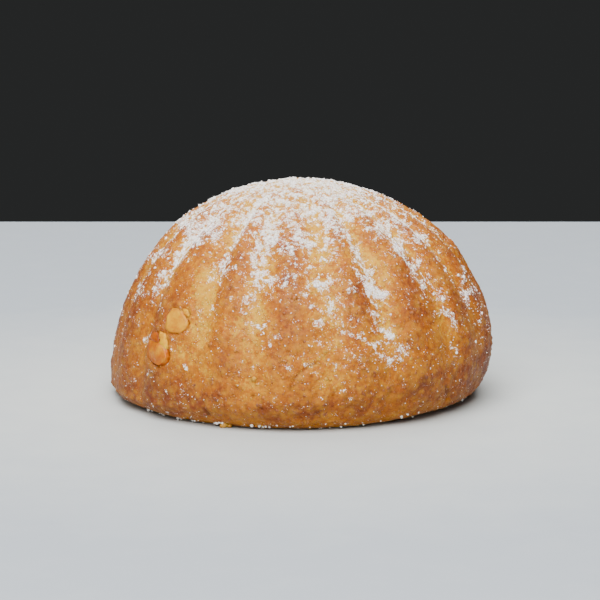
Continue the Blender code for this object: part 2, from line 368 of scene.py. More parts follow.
def ripple(points, size, octaves=1):
    """Smooth noise of about that feature size at each point, between -1 and 1."""
    if octaves == 1:
        return np.array([noise.noise(Vector(p)) for p in points / size])
    return np.array([noise.fractal(Vector(p), 0.6, 2.0, octaves) for p in points / size])


def base_middle():
    """Where the dome's axis meets the base of the solid, from the foot's rim at the left, front and back."""
    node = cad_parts[NODE]
    rim = np.array([v.co[:] for v in node.data.vertices if v.co.z < 0.00001])
    return np.array([rim[:, 0].min() + FOOT_WIDTH / 2, (rim[:, 1].min() + rim[:, 1].max()) / 2, 0.0])


def shaped(turn, share):
    """Where the baked dough has the plain dome's points at these turns and shares, and which way it faces."""
    radius, height = profile_at(share)
    angle = np.radians(turn)
    points = np.column_stack((radius * np.sin(angle), -radius * np.cos(angle), height))
    climb, depth = rib_place(turn)
    rounded = np.sqrt(climb ** 2 + GROOVE_ROUNDING ** 2) / math.sqrt(1 + GROOVE_ROUNDING ** 2)
    ribs = smooth_step(*RIB_STARTS, share) * (1 - (1 - RIB_LEFT_AT_FOOT) * smooth_step(*RIB_ENDS, share))
    pressed = depth * (1 - np.sin(rounded * math.pi / 2)) * ribs
    lump = ripple(points, LUMP_SIZE) * LUMP_HEIGHT
    foot = 1 - smooth_step(1.3, 2.0, share)
    facing = outward(points)
    moved = points + facing * ((lump - pressed) * foot)[:, None]
    side = np.sin(angle)
    rise = np.clip((height - WIDEST_HEIGHT) / (HEIGHT - WIDEST_HEIGHT), 0, 1)
    drop = np.clip(height / WIDEST_HEIGHT, 0, 1)
    moved[:, 2] += LEAN * side * np.where(share <= 1, 1 - rise, drop)
    moved[:, 0] += np.where(share <= 1, TOP_OFFSET * rise, 0)
    away = np.abs((turn - LIFT_TURN + 180) % 360 - 180)
    lift = LIFT * (1 - smooth_step(0, LIFT_REACH, away)) * smooth_step(1.4, 2.0, share)
    moved[:, 2] += lift
    return moved + base_middle(), facing


def surface_frame(turn, share):
    """A matrix at the dough's surface: X across, Y up the side and Z outward."""
    turns = np.array([turn, turn - 3, turn + 3, turn, turn], float)
    shares = np.array([share, share, share, share - 0.03, share + 0.03])
    points, _ = shaped(turns, shares)
    middle, left, right, upper, lower = (Vector(p) for p in points)
    across = (right - left).normalized()
    out = across.cross((upper - lower).normalized()).normalized()
    up = out.cross(across).normalized()
    place = Matrix((across, up, out)).transposed().to_4x4()
    place.translation = middle
    return place


def camera_axes():
    """The camera's right, up and backward directions."""
    rise = math.radians(CAMERA_RISE)
    right = np.array([1.0, 0.0, 0.0])
    up = np.array([0.0, math.sin(rise), math.cos(rise)])
    back = np.array([0.0, -math.cos(rise), math.sin(rise)])
    return right, up, back


def in_picture(points):
    """Where points show in the photograph's frame, in pixels."""
    right, up, back = camera_axes()
    offset = points - np.array(CAMERA_AIM)
    depth = CAMERA_DISTANCE - offset @ back
    scale = PIXELS_PER_METRE * CAMERA_DISTANCE / depth
    return PICTURE / 2 + offset @ right * scale, PICTURE / 2 - offset @ up * scale


def patches_on(points, facing, patches):
    """How much the patches that show in the picture weigh at each point that faces the camera."""
    across, down = in_picture(points)
    total = np.zeros(len(points))
    for x, y, half_width, half_height, weight in patches:
        far = ((across - x) / half_width) ** 2 + ((down - y) / half_height) ** 2
        near = far < 9
        total[near] += weight * np.exp(-far[near] * 0.8)
    seen = smooth_step(-0.02, 0.12, facing @ camera_axes()[2])
    return total * seen


def dough_grid(sizes):
    """The plain dome as a turned bmesh, with the turn and share of each vertex."""
    fine = np.linspace(0, 2, 4000)
    radius, height = profile_at(fine)
    along = np.concatenate(([0], np.cumsum(np.hypot(np.diff(radius), np.diff(height)))))
    shares = np.interp(np.linspace(0, along[-1], sizes.rings + 1), along, fine)
    radius, height = profile_at(shares)
    inward = (1 - np.arange(1, sizes.base_rings + 1) / sizes.base_rings) ** 1.6 * FOOT_WIDTH / 2
    outline = list(zip(radius, height)) + [(r, 0.0) for r in inward]
    grid = bmesh.new()
    points = [grid.verts.new((r, 0, z)) for r, z in outline]
    edges = [grid.edges.new(pair) for pair in zip(points, points[1:])]
    bmesh.ops.spin(
        grid, geom=points + edges, cent=(0, 0, 0), axis=(0, 0, 1), angle=math.tau,
        steps=sizes.steps, use_merge=True, use_normal_flip=False, use_duplicate=False,
    )
    bmesh.ops.remove_doubles(grid, verts=grid.verts, dist=0.000002)
    bmesh.ops.recalc_face_normals(grid, faces=grid.faces)
    return grid


def grid_places(points):
    """The turn and share of the plain dome's vertices; a share past 2 is on the base."""
    turn = np.degrees(np.arctan2(points[:, 0], -points[:, 1]))
    turn = turn - FRONT_CROWDING * np.sin(np.radians(turn))
    radius = np.hypot(points[:, 0], points[:, 1])
    height = points[:, 2]
    rise = np.clip((height - WIDEST_HEIGHT) / (HEIGHT - WIDEST_HEIGHT), 0, 1)
    drop = np.clip(1 - height / WIDEST_HEIGHT, 0, 1)
    above = np.arccos(rise ** (CROWN / 2)) * 2 / math.pi
    below = 1 + np.arcsin(drop ** (TUCK_UNDER / 2)) * 2 / math.pi
    share = np.where(height >= WIDEST_HEIGHT, above, below)
    on_base = (height < 1e-7) & (radius < FOOT_WIDTH / 2 - 1e-6)
    return turn, share, radius, on_base


def array_mesh(name, points, triangles):
    """A mesh from an array of points and one of triangles, for many small things joined in one."""
    mesh = bpy.data.meshes.new(name)
    mesh.vertices.add(len(points))
    mesh.vertices.foreach_set("co", points.astype(np.float32).ravel())
    mesh.loops.add(triangles.size)
    mesh.loops.foreach_set("vertex_index", triangles.astype(np.int32).ravel())
    mesh.polygons.add(len(triangles))
    mesh.polygons.foreach_set("loop_start", np.arange(0, triangles.size, 3, dtype=np.int32))
    mesh.update(calc_edges=True)
    return mesh


def show(mesh, name, material):
    """Links a finished mesh as a piece of the biscuit, smooth, with its material."""
    mesh.materials.append(material)
    mesh.shade_smooth()
    piece = bpy.data.objects.new(name, mesh)
    bpy.context.scene.collection.objects.link(piece)
    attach(piece, "root")
    return piece


def store(mesh, name, values):
    """Keeps one number for each vertex, for the materials."""
    layer = mesh.attributes.new(name, "FLOAT", "POINT")
    layer.data.foreach_set("value", values.astype(np.float32))


def read(mesh, name):
    """The numbers kept under a name."""
    values = np.empty(len(mesh.vertices), np.float32)
    mesh.attributes[name].data.foreach_get("value", values)
    return values.astype(float)


def coordinates(mesh):
    """All the vertices as an array."""
    points = np.empty(len(mesh.vertices) * 3, np.float32)
    mesh.vertices.foreach_get("co", points)
    return points.reshape(-1, 3).astype(float)


def almond_places():
    """Each almond piece with the frame of the dough's surface under it, turned by its roll."""
    places = []
    for values in ALMONDS:
        place = surface_frame(values[2], values[3])
        places.append((values, place @ Matrix.Rotation(math.radians(values[5]), 4, "Z")))
    return places


def outline_reach(kind, scale, x, y):
    """How far a chopped outline reaches from its middle, in metres, in the direction of x and y."""
    corners = np.array(CHOPPED[kind]) * MM * scale
    turns = np.arctan2(corners[:, 1], corners[:, 0])
    order = np.argsort(turns)
    reach = np.hypot(corners[:, 0], corners[:, 1])
    return np.interp(np.arctan2(y, x), turns[order], reach[order], period=math.tau)


def bed_almonds(points):
    """How the dough gives way to the almond pieces: its height change, and the painted shade in the cracked rim
    round each and under it.
    """
    height = np.zeros(len(points))
    crack_shade = np.zeros(len(points))
    for (kind, scale, _, _, thickness, _, proud, _), place in almond_places():
        local = (points - np.array(place.translation)) @ np.array(place.to_3x3())
        x, y = local[:, 0], local[:, 1]
        gap = np.hypot(x, y) - outline_reach(kind, scale, x, y)
        near = (np.abs(local[:, 2]) < 0.003) & (gap < 0.0012)
        under = near & (gap < -0.0001)
        height[under] -= 0.00022 + proud * 0.3
        rim = near & (gap >= -0.0001)
        edge = gap[rim]
        height[rim] += 0.00008 * np.exp(-((edge - 0.00050) / 0.0003) ** 2)
        height[rim] -= 0.00018 * np.exp(-(edge / 0.00018) ** 2)
        # Painted shadow: the dark rim round each piece is darker below it and to its right, and shade is painted
        # under it
        shadow_side = 0.30 + 0.45 * np.clip((x[rim] * 0.6 - y[rim]) / 0.0012, -0.7, 1)
        crack_shade[rim] = np.maximum(crack_shade[rim], shadow_side * np.exp(-(edge / 0.00020) ** 2))
        crack_shade[under] = np.maximum(crack_shade[under], 0.5)
    return height, crack_shade


def cracks_and_holes(points, facing):
    """The cracks and holes that show in the picture: height change and the painted shade at each point."""
    across, down = in_picture(points)
    height = np.zeros(len(points))
    dark = np.zeros(len(points))
    seen = smooth_step(0.0, 0.2, facing @ camera_axes()[2])
    for width, depth, route in CRACKS:
        far = np.full(len(points), 1e3)
        for (x0, y0), (x1, y1) in zip(route, route[1:]):
            run = np.hypot(x1 - x0, y1 - y0)
            along = np.clip(((across - x0) * (x1 - x0) + (down - y0) * (y1 - y0)) / run ** 2, 0, 1)
            far = np.minimum(far, np.hypot(across - x0 - along * (x1 - x0), down - y0 - along * (y1 - y0)))
        close = np.exp(-(far / (width * PIXELS_PER_METRE)) ** 2) * seen
        height -= depth * close
        dark = np.maximum(dark, close)
    for x, y, width in HOLES:
        close = np.exp(-(((across - x) ** 2 + (down - y) ** 2) / (width * PIXELS_PER_METRE) ** 2)) * seen
        height -= width * close
        dark = np.maximum(dark, close)
    return height, dark


def pits_and_nubs(points, share, draw):
    """Small pits and nubs all over the crust: height change, the painted shade in the pits, and how pale the
    nubs make it.
    """
    tree = kdtree.KDTree(len(points))
    for number, point in enumerate(points):
        tree.insert(point, number)
    tree.balance()
    height = np.zeros(len(points))
    dark = np.zeros(len(points))
    pale = np.zeros(len(points))
    chance = np.where(share > 0.25, 0.45 + smooth_step(0.6, 1.1, share), 0.1) * (share < 1.97)
    centres = draw.choice(len(points), PITS + NUBS, replace=False, p=chance / chance.sum())
    for place, centre in enumerate(centres):
        pit = place < PITS
        width = draw.uniform(0.00014, 0.00030) if pit else draw.uniform(0.00022, 0.00052)
        depth = width * (draw.uniform(0.25, 0.6) if pit else draw.uniform(0.04, 0.14))
        strength = draw.uniform(0.3, 1.0)
        for _, number, distance in tree.find_range(Vector(points[centre]), width * 2):
            close = math.exp(-(distance / width) ** 2)
            height[number] += (-depth if pit else depth) * close
            kept = dark if pit else pale
            kept[number] = max(kept[number], close * strength)
    return height, dark, pale


def hidden_grooves():
    """The turns of the grooves that the picture doesn't show."""
    return [groove for groove, _, _ in RIBS if abs((groove + 180) % 360 - 180) > 84]


def back_patches(points, draw):
    """Sugar that caught here and there on the sides that the picture doesn't show."""
    total = np.zeros(len(points))
    for groove in hidden_grooves():
        for _ in range(11):
            at_turn = groove + draw.normal(0, 5)
            at_share = draw.uniform(0.26, 0.92) ** 1.15
            middle, _ = shaped(np.array([at_turn]), np.array([at_share]))
            size = draw.uniform(0.0005, 0.0015)
            far = np.linalg.norm((points - middle) * (1, 1, 0.7), axis=1) / size
            near = far < 3
            total[near] += draw.uniform(0.3, 0.8) * np.exp(-far[near] ** 2)
    return total


def sugar_streaks(turn, share, draw):
    """Sugar that lies along each groove from the top down, less and less of it."""
    streaks = list(SUGAR_STREAKS)
    for groove in hidden_grooves():
        streaks.append((groove - 2, draw.uniform(0.56, 0.78), draw.uniform(0.25, 0.48), 2.8))
    total = np.zeros(len(turn))
    for middle, end, weight, half_width in streaks:
        side_shade = (turn - middle + 180) % 360 - 180
        fading = 1 - smooth_step(end - 0.22, end + 0.08, share)
        total += weight * np.exp(-(side_shade / half_width) ** 2) * smooth_step(0.10, 0.28, share) * fading
    return total


def sugar_margin(points, facing, turn, share, draw):
    """How far the icing sugar at each point is over, or under, what makes it show.

    It is a share of cover, thick on top and along the grooves, less a noise that breaks it into clusters.
    """
    steps, covers = zip(*SUGAR_ON_TOP)
    cover = np.interp(share, steps, covers) + sugar_streaks(turn, share, draw)
    cover += patches_on(points, facing, SUGAR_PATCHES) * SUGAR_PATCH_WEIGHT
    cover += back_patches(points, draw) * smooth_step(74, 92, np.abs(turn)) * SUGAR_PATCH_WEIGHT
    cover -= (1 - THICK_GAIN) * np.maximum(cover - THICK_COVER, 0)
    return cover - 0.5 - 0.30 * ripple(points, 0.0013) - 0.60 * ripple(points, 0.00056)


def build_dough(sizes, colours):
    """The baked dough: the turned grid moved to the solid's form, with its crust in relief."""
    draw = np.random.default_rng(SEED)
    grid = dough_grid(sizes)
    mesh = bpy.data.meshes.new("baked_dough")
    grid.to_mesh(mesh)
    grid.free()
    turn, share, radius, on_base = grid_places(coordinates(mesh))
    points, facing = shaped(turn, np.minimum(share, 2))
    angle = np.radians(turn)
    flat = np.column_stack((radius * np.sin(angle), -radius * np.cos(angle), np.zeros_like(radius)))
    points[on_base] = flat[on_base] + base_middle()
    climb, _ = rib_place(turn)
    crest = np.sin(climb * math.pi / 2) ** 1.3
    shown = smooth_step(*RIB_STARTS, share) * (1 - 0.75 * smooth_step(0.62, 1.1, share))

    sugar = sugar_margin(points, facing, turn, share, draw)
    sugar[on_base] = -1
    slow = ripple(points, 0.0042, 2)
    blotches = ripple(points, 0.0019, 2)
    rough = 1 + 0.7 * smooth_step(0.75, 1.15, share)
    height = ripple(points, sizes.grain, 2) * sizes.grain_height * rough
    height += ripple(points, sizes.fine_grain) * sizes.fine_height * rough + slow * 0.00008
    pit_height, pit_dark, nub_pale = pits_and_nubs(points, share, draw)
    bed_height, bed_dark = bed_almonds(points)
    crack_height, crack_dark = cracks_and_holes(points, facing)
    height += pit_height + bed_height + crack_height + smooth_step(-0.1, 0.3, sugar) * 0.00006
    for at_turn, at_share, width, rise in RISES:
        middle, _ = shaped(np.array([at_turn]), np.array([at_share]))
        height += rise * np.exp(-(np.linalg.norm(points - middle, axis=1) / width) ** 2)
    calm = np.where(on_base, 0.0, 1 - 0.6 * smooth_step(1.85, 2.0, share))
    points += facing * (height * calm)[:, None]
    points[:, 2] = np.maximum(points[:, 2], 0)
    mesh.vertices.foreach_set("co", points.astype(np.float32).ravel())
    mesh.update()

    bake_and_shade = 0.10 + 0.17 * smooth_step(0.15, 0.45, share) + 0.42 * (crest - 0.4) * shown
    bake_and_shade += 0.10 * smooth_step(0.55, 0.80, share) + 0.32 * smooth_step(0.85, 1.15, share)
    bake_and_shade -= 0.12 * smooth_step(1.30, 1.60, share)
    bake_and_shade += (0.13 * slow + 0.14 * blotches) * (1 - 0.35 * smooth_step(60, 100, np.abs(turn)))
    # Patches of browner or paler crust: partly real browning and partly painted shade
    bake_and_shade += patches_on(points, facing, BAKE_AND_SHADE_PATCHES) * BAKE_AND_SHADE_PATCH_WEIGHT
    # Painted shade: from the middle of the side down, darker towards the left and right edges as seen from the
    # front, and a little paler at the back
    side_shade = smooth_step(36, 80, np.abs(turn)) - 1.1 * smooth_step(85, 125, np.abs(turn))
    bake_and_shade += 0.26 * side_shade * smooth_step(0.40, 0.75, share)
    bake_and_shade[on_base] = 0.85
    store(mesh, "bake_and_shade", np.clip(bake_and_shade, 0, 1.3))
    store(mesh, "sugar", np.clip(sugar, -1, 1))
    # Painted shade in the pits, cracks and holes and round the almond pieces
    store(mesh, "crack_shade", np.clip(np.maximum.reduce([pit_dark * 0.35, bed_dark, crack_dark * 0.6]), 0, 1))
    store(mesh, "nub", nub_pale)
    piece = show(mesh, "baked_dough", dough_material(colours))
    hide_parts(NODE)
    return piece


def add_node(tree, kind, inputs=None, stops=None, **settings):
    """Adds a node: settings are its own, inputs are values or other outputs, stops are its ramp's."""
    node = tree.nodes.new(kind)
    for name, value in settings.items():
        setattr(node, name, value)
    for name, source in (inputs or {}).items():
        if isinstance(source, bpy.types.NodeSocket):
            tree.links.new(source, node.inputs[name])
        else:
            node.inputs[name].default_value = source
    for number, (place, colour) in enumerate(stops or ()):
        elements = node.color_ramp.elements
        element = elements[number] if number < len(elements) else elements.new(place)
        element.position = place
        element.color = colour
    return node


def new_material(name, values):
    """A material with its shader's plain values set: its node tree, shader, and place on the object."""
    material = bpy.data.materials.new(name)
    material.use_nodes = True
    tree = material.node_tree
    shader = tree.nodes["Principled BSDF"]
    for socket, value in values.items():
        shader.inputs[socket].default_value = value
    return material, tree, shader, add_node(tree, "ShaderNodeTexCoord").outputs["Object"]


def dough_material(colours):
    """Shortbread baked golden: a matt, slightly oily crumb that light enters a little way.

    The attribute for browning and painted shade moves the colour from pale groove to brown crest, and darker
    towards the sides seen from the front; coarse grains fleck it, painted shade makes cracks, pits, holes and
    the rims round the almond pieces the deepest brown, and a haze of icing sugar lies over it.
    """
    material, tree, shader, place = new_material(
        "baked shortbread",
        {
            "IOR": 1.46,
            "Specular IOR Level": 0.12,
            "Subsurface Weight": 0.45,
            "Subsurface Radius": (1.0, 0.42, 0.16),
            "Subsurface Scale": 0.0014,
        },
    )
    bake_and_shade = add_node(tree, "ShaderNodeAttribute", attribute_name="bake_and_shade").outputs["Fac"]
    sugar = add_node(tree, "ShaderNodeAttribute", attribute_name="sugar").outputs["Fac"]
    crack_shade = add_node(tree, "ShaderNodeAttribute", attribute_name="crack_shade").outputs["Fac"]
    nub = add_node(tree, "ShaderNodeAttribute", attribute_name="nub").outputs["Fac"]
    mottle = add_node(
        tree, "ShaderNodeTexNoise",
        {"Vector": place, "Scale": 1 / (1.1 * MM), "Detail": 4.0, "Roughness": 0.7},
    ).outputs["Fac"]
    grain = add_node(
        tree, "ShaderNodeTexNoise",
        {"Vector": place, "Scale": 1 / (0.42 * MM), "Detail": 3.0, "Roughness": 0.7},
    ).outputs["Fac"]
    dust = add_node(
        tree, "ShaderNodeTexNoise",
        {"Vector": place, "Scale": 1 / (0.24 * MM), "Detail": 3.0, "Roughness": 0.75},
    ).outputs["Fac"]
    mottle_shift = add_node(tree, "ShaderNodeMath", {0: mottle, 1: -0.5}, operation="ADD").outputs[0]
    grain_shift = add_node(tree, "ShaderNodeMath", {0: grain, 1: -0.5}, operation="ADD").outputs[0]
    dust_shift = add_node(tree, "ShaderNodeMath", {0: dust, 1: -0.5}, operation="ADD").outputs[0]
    baked = add_node(
        tree, "ShaderNodeMath", {0: mottle_shift, 1: 0.85, 2: bake_and_shade}, operation="MULTIPLY_ADD"
    ).outputs[0]
    baked = add_node(
        tree, "ShaderNodeMath", {0: grain_shift, 1: 1.25, 2: baked}, operation="MULTIPLY_ADD"
    ).outputs[0]
    crust = add_node(
        tree, "ShaderNodeValToRGB", {"Fac": baked},
        stops=((0.0, colours.pale), (1.0, colours.dark), (0.34, colours.golden), (0.68, colours.brown)),
    ).outputs["Color"]
    fleck = add_node(tree, "ShaderNodeMath", {0: nub, 1: 0.42}, operation="MULTIPLY").outputs[0]
    crust = add_node(tree, "ShaderNodeMix", {0: fleck, 6: crust, 7: colours.pale}, data_type="RGBA").outputs[2]
    # Painted shade: cracks, pits, holes and almond rims are mixed towards the dark shade colour
    crust = add_node(tree, "ShaderNodeMix", {0: crack_shade, 6: crust, 7: colours.crack_shade}, data_type="RGBA").outputs[2]
    lace = add_node(
        tree, "ShaderNodeMath", {0: dust_shift, 1: 3.2, 2: sugar}, operation="MULTIPLY_ADD"
    ).outputs[0]
    cover = add_node(
        tree, "ShaderNodeMapRange",
        {"Value": lace, "From Min": 0.02, "From Max": 0.45, "To Min": 0.0, "To Max": 0.84},
    ).outputs["Result"]
    haze = add_node(
        tree, "ShaderNodeMapRange",
        {"Value": sugar, "From Min": 0.0, "From Max": 0.50, "To Min": 0.0, "To Max": 0.12},
    ).outputs["Result"]
    white = add_node(tree, "ShaderNodeMath", {0: cover, 1: haze}, operation="MAXIMUM").outputs[0]
    colour = add_node(tree, "ShaderNodeMix", {0: white, 6: crust, 7: colours.sugar}, data_type="RGBA").outputs[2]
    tree.links.new(colour, shader.inputs["Base Color"])
    roughness = add_node(
        tree, "ShaderNodeMapRange",
        {"Value": grain, "From Min": 0.3, "From Max": 0.7, "To Min": 0.32, "To Max": 0.56},
    ).outputs["Result"]
    tree.links.new(roughness, shader.inputs["Roughness"])
    relief = add_node(
        tree, "ShaderNodeMath", {0: mottle, 1: 0.4, 2: grain}, operation="MULTIPLY_ADD"
    ).outputs[0]
    bump = add_node(
        tree, "ShaderNodeBump", {"Height": relief, "Strength": 0.70, "Distance": 0.00015}
    ).outputs["Normal"]
    tree.links.new(bump, shader.inputs["Normal"])
    return material


def sugar_material(colours):
    """Icing sugar: starch-dusted powder, bright and fully matt, a little lit through at thin edges."""
    material, tree, shader, place = new_material(
        "icing sugar",
        {
            "Roughness": 0.5,
            "IOR": 1.5,
            "Subsurface Weight": 0.15,
            "Subsurface Radius": (1.0, 0.9, 0.8),
            "Subsurface Scale": 0.0002,
        },
    )
    grain = add_node(
        tree, "ShaderNodeTexNoise", {"Vector": place, "Scale": 1 / (0.2 * MM), "Detail": 2.0}
    ).outputs["Fac"]
    shade = add_node(
        tree, "ShaderNodeValToRGB", {"Fac": grain}, stops=((0.3, linear("#fbf4ee")), (0.6, colours.sugar))
    ).outputs["Color"]
    tree.links.new(shade, shader.inputs["Base Color"])
    return material


def crystal_material():
    """Sugar crystals: clear and sharp-edged, so they glint."""
    return new_material(
        "sugar crystal",
        {
            "Base Color": linear("#fffaf6"),
            "Roughness": 0.10,
            "IOR": 1.54,
            "Transmission Weight": 0.2,
        },
    )[0]


def almond_material(colours):
    """Chopped almond: dense and waxy with a faint grain, pale inside and amber where it has toasted."""
    material, tree, shader, place = new_material(
        "toasted almond",
        {
            "Roughness": 0.34,
            "IOR": 1.47,
            "Specular IOR Level": 0.22,
            "Subsurface Weight": 0.40,
            "Subsurface Radius": (1.0, 0.5, 0.2),
            "Subsurface Scale": 0.0009,
        },
    )
    toast = add_node(tree, "ShaderNodeAttribute", attribute_name="toast").outputs["Fac"]
    cloud = add_node(
        tree, "ShaderNodeTexNoise", {"Vector": place, "Scale": 1 / (1.1 * MM), "Detail": 4.0}
    ).outputs["Fac"]
    cloud_shift = add_node(tree, "ShaderNodeMath", {0: cloud, 1: -0.5}, operation="ADD").outputs[0]
    toasted = add_node(
        tree, "ShaderNodeMath", {0: cloud_shift, 1: 1.0, 2: toast}, operation="MULTIPLY_ADD"
    ).outputs[0]
    colour = add_node(
        tree, "ShaderNodeValToRGB", {"Fac": toasted},
        stops=((0.0, colours.almond_pale), (1.0, colours.almond_dark), (0.55, colours.almond_toasted)),
    ).outputs["Color"]
    tree.links.new(colour, shader.inputs["Base Color"])
    pores = add_node(
        tree, "ShaderNodeTexNoise", {"Vector": place, "Scale": 1 / (0.4 * MM), "Detail": 3.0}
    ).outputs["Fac"]
    bump = add_node(
        tree, "ShaderNodeBump", {"Height": pores, "Strength": 0.6, "Distance": 0.00012}
    ).outputs["Normal"]
    tree.links.new(bump, shader.inputs["Normal"])
    return material


def grain_material(colours):
    """Coarse flour and almond meal in the crust: each grain baked paler or browner than its neighbours."""
    material, tree, shader, place = new_material(
        "baked meal",
        {
            "Roughness": 0.45,
            "Subsurface Weight": 0.35,
            "Subsurface Radius": (1.0, 0.42, 0.16),
            "Subsurface Scale": 0.0006,
        },
    )
    bake_and_shade = add_node(tree, "ShaderNodeAttribute", attribute_name="bake_and_shade").outputs["Fac"]
    colour = add_node(
        tree, "ShaderNodeValToRGB", {"Fac": bake_and_shade},
        stops=((0.0, colours.pale), (1.0, colours.dark), (0.34, colours.golden), (0.68, colours.brown)),
    ).outputs["Color"]
    tree.links.new(colour, shader.inputs["Base Color"])
    pores = add_node(
        tree, "ShaderNodeTexNoise", {"Vector": place, "Scale": 1 / (0.2 * MM), "Detail": 2.0}
    ).outputs["Fac"]
    bump = add_node(
        tree, "ShaderNodeBump", {"Height": pores, "Strength": 0.5, "Distance": 0.00008}
    ).outputs["Normal"]
    tree.links.new(bump, shader.inputs["Normal"])
    return material


def paper_material(colours):
    """Matt pale paper that the biscuit stands on: faint fibres, no gloss, and painted shade that darkens it away
    from the biscuit.
    """
    material, tree, shader, place = new_material("matt paper", {"Roughness": 0.8})
    fibres = add_node(
        tree, "ShaderNodeTexNoise", {"Vector": place, "Scale": 1 / (6 * MM), "Detail": 6.0}
    ).outputs["Fac"]
    fibre_shift = add_node(tree, "ShaderNodeMath", {0: fibres, 1: -0.5}, operation="ADD").outputs[0]
    distance = add_node(tree, "ShaderNodeVectorMath", {0: place}, operation="LENGTH").outputs["Value"]
    # Painted shade: the paper darkens from 25 mm to 75 mm away from the biscuit
    away = add_node(
        tree, "ShaderNodeMapRange", {"Value": distance, "From Min": 25 * MM, "From Max": 75 * MM}
    ).outputs["Result"]
    away = add_node(
        tree, "ShaderNodeMath", {0: fibre_shift, 1: 0.5, 2: away}, operation="MULTIPLY_ADD"
    ).outputs[0]
    colour = add_node(
        tree, "ShaderNodeMix", {0: away, 6: colours.floor, 7: colours.floor_far_shade}, data_type="RGBA"
    ).outputs[2]
    tree.links.new(colour, shader.inputs["Base Color"])
    return material


def chopped_piece(kind, scale, thickness, draw):
    """A closed lump with a chopped outline and planes cut off its top, and how near its rim each point is."""
    lump = bmesh.new()
    bmesh.ops.create_icosphere(lump, subdivisions=5, radius=1.0)
    facets = [(draw.uniform(-0.4, 0.4), draw.uniform(-0.4, 0.4), draw.uniform(0.85, 1.0)) for _ in range(4)]
    rims = []
    for vertex in lump.verts:
        x, y, z = vertex.co
        flat = min(math.hypot(x, y), 1.0)
        reach = float(outline_reach(kind, scale, x, y))
        wide = reach * flat ** 0.75 / max(flat, 1e-6)
        high = abs(z) ** 0.75
        if z > 0:
            high = min([high] + [c + a * x + b * y for a, b, c in facets])
        ripples = 1 + 0.07 * noise.noise(vertex.co * 2.6 + Vector((thickness / MM, scale, 0)))
        vertex.co = Vector((x * wide, y * wide, math.copysign(high, z) * thickness / 2)) * ripples
        rims.append(flat ** 6)
    return lump, rims


def build_almonds(colours):
    """The chopped almond pieces, each bedded in the dough's surface."""
    draw = random.Random(SEED)
    whole = bmesh.new()
    toast = []
    for (kind, scale, _, _, thickness, _, proud, toasted), place in almond_places():
        lump, rims = chopped_piece(kind, scale, thickness, draw)
        bedded = place @ Matrix.Translation((0, 0, proud - thickness / 2))
        bmesh.ops.transform(lump, matrix=bedded, verts=lump.verts)
        bmesh.ops.recalc_face_normals(lump, faces=lump.faces)
        mesh = bpy.data.meshes.new("lump")
        lump.to_mesh(mesh)
        lump.free()
        whole.from_mesh(mesh)
        toast += [toasted + 0.2 * rim for rim in rims]
        bpy.data.meshes.remove(mesh)
    mesh = bpy.data.meshes.new("almond_pieces")
    whole.to_mesh(mesh)
    whole.free()
    store(mesh, "toast", np.array(toast))
    piece = show(mesh, "almond_pieces", almond_material(colours))
    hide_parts(NODE)
    return piece


def dough_samples(count, draw):
    """Random places on the dough, evenly by area: point, outward normal, and sugar and browning with painted
    shade there.
    """
    mesh = bpy.data.objects["baked_dough"].data
    points = coordinates(mesh)
    mesh.calc_loop_triangles()
    corners = np.empty(len(mesh.loop_triangles) * 3, np.int32)
    mesh.loop_triangles.foreach_get("vertices", corners)
    corners = corners.reshape(-1, 3)
    first, second, third = (points[corners[:, k]] for k in range(3))
    normal = np.cross(second - first, third - first)
    area = np.linalg.norm(normal, axis=1) * (first[:, 2] > 0.0002)
    picked = draw.choice(len(corners), count, p=area / area.sum())
    a, b = draw.random(count), draw.random(count)
    flip = a + b > 1
    a[flip], b[flip] = 1 - a[flip], 1 - b[flip]
    weights = np.column_stack((1 - a - b, a, b))
    chosen = corners[picked]
    place = np.einsum("ij,ijk->ik", weights, points[chosen])
    facing = normal[picked] / np.linalg.norm(normal[picked], axis=1)[:, None]
    sugar = (read(mesh, "sugar")[chosen] * weights).sum(1)
    bake_and_shade = (read(mesh, "bake_and_shade")[chosen] * weights).sum(1)
    return place, facing, sugar, bake_and_shade


def grain_shape(kind):
    """The points and triangles of one grain, half a unit in radius."""
    shape = bmesh.new()
    if kind == "fine":
        bmesh.ops.create_uvsphere(shape, u_segments=4, v_segments=2, radius=0.5)
    elif kind == "coarse":
        bmesh.ops.create_icosphere(shape, subdivisions=1, radius=0.5)
    elif kind == "crumb":
        bmesh.ops.create_icosphere(shape, subdivisions=2, radius=0.5)
    else:
        bmesh.ops.create_cube(shape, size=0.8)
        bmesh.ops.bevel(
            shape, geom=shape.edges[:], offset=0.08, segments=1, profile=0.5, affect="EDGES", material=-1
        )
    bmesh.ops.triangulate(shape, faces=shape.faces[:])
    shape.verts.ensure_lookup_table()
    points = np.array([vertex.co[:] for vertex in shape.verts])
    triangles = np.array([[vertex.index for vertex in face.verts] for face in shape.faces])
    shape.free()
    return points, triangles


def scatter(name, kind, places, facing, width, flatness, sink, draw, unevenness=0.22):
    """Grains at the given places, each turned and sized by chance, joined in one mesh."""
    shape, triangles = grain_shape(kind)
    count = len(places)
    spin = draw.normal(size=(count, 3))
    across = np.cross(facing, spin)
    across /= np.linalg.norm(across, axis=1)[:, None]
    along = np.cross(facing, across)
    stretch = width[:, None] * np.column_stack(
        (draw.uniform(0.75, 1.3, count), draw.uniform(0.7, 1.1, count), flatness * draw.uniform(0.8, 1.2, count))
    )
    uneven = 1 + draw.uniform(-unevenness, unevenness, (count, len(shape), 1))
    local = shape[None] * stretch[:, None] * uneven
    axes = np.stack((across, along, facing), axis=1)
    lifted = places + facing * (stretch[:, 2] * (0.5 - sink))[:, None]
    points = np.einsum("nkj,njc->nkc", local, axes) + lifted[:, None]
    points[:, :, 2] = np.maximum(points[:, :, 2], 0)
    joined = triangles[None] + np.arange(count)[:, None, None] * len(shape)
    return array_mesh(name, points.reshape(-1, 3), joined.reshape(-1, 3))


